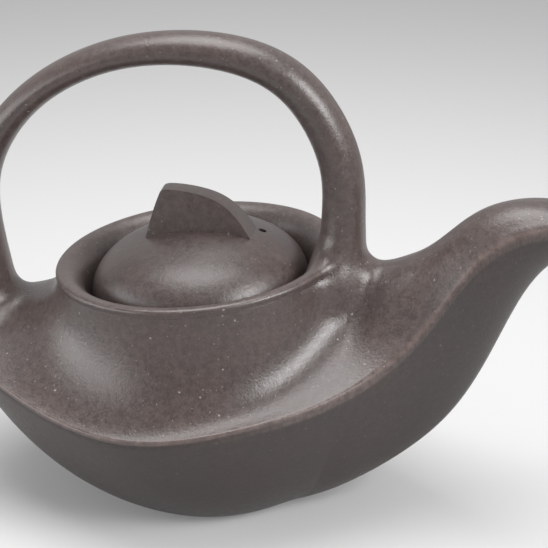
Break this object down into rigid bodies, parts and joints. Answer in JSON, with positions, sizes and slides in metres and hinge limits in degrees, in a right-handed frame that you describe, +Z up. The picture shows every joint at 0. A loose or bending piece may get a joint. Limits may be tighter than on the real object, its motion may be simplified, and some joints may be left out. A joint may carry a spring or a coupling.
{
  "type": "overhead-handle teapot",
  "caption": "Unglazed clay teapot with an overhead arch handle, a horn spout with a strainer and a loose domed lid with a fin-shaped grip.",
  "frame": {"origin": "centre of the flat base, on the surface that the pot stands on", "axes": "+X toward the spout, +Z up, the plane Y = 0 is the mirror plane through handle and spout"},
  "size_m": [0.1955, 0.1116, 0.1461],
  "materials": {
    "body_clay": "matte unglazed stoneware with a soft sheen and fine pale specks",
    "bowl_clay": "matte unglazed stoneware, darker below the ridge",
    "lid_clay": "matte unglazed stoneware with a soft sheen",
    "inner_clay": "matte unglazed stoneware, left as thrown"
  },
  "bodies": {
    "pot": {"base_disc": "bowl_clay", "lower_bowl": "bowl_clay", "shoulder": "body_clay", "spout": "body_clay", "strainer": "inner_clay", "rim_collar": "body_clay", "mouth_ring": "inner_clay", "handle": "body_clay"},
    "lid": {"lid_dome": "lid_clay", "lid_flange": "inner_clay", "lid_fin": "lid_clay"}
  },
  "joints": [
    {"name": "lid_lift", "type": "slide", "parent": "pot", "child": "lid", "axis": [-0.0958, 0, 0.9954], "range_m": [0, 0.034]}
  ]
}
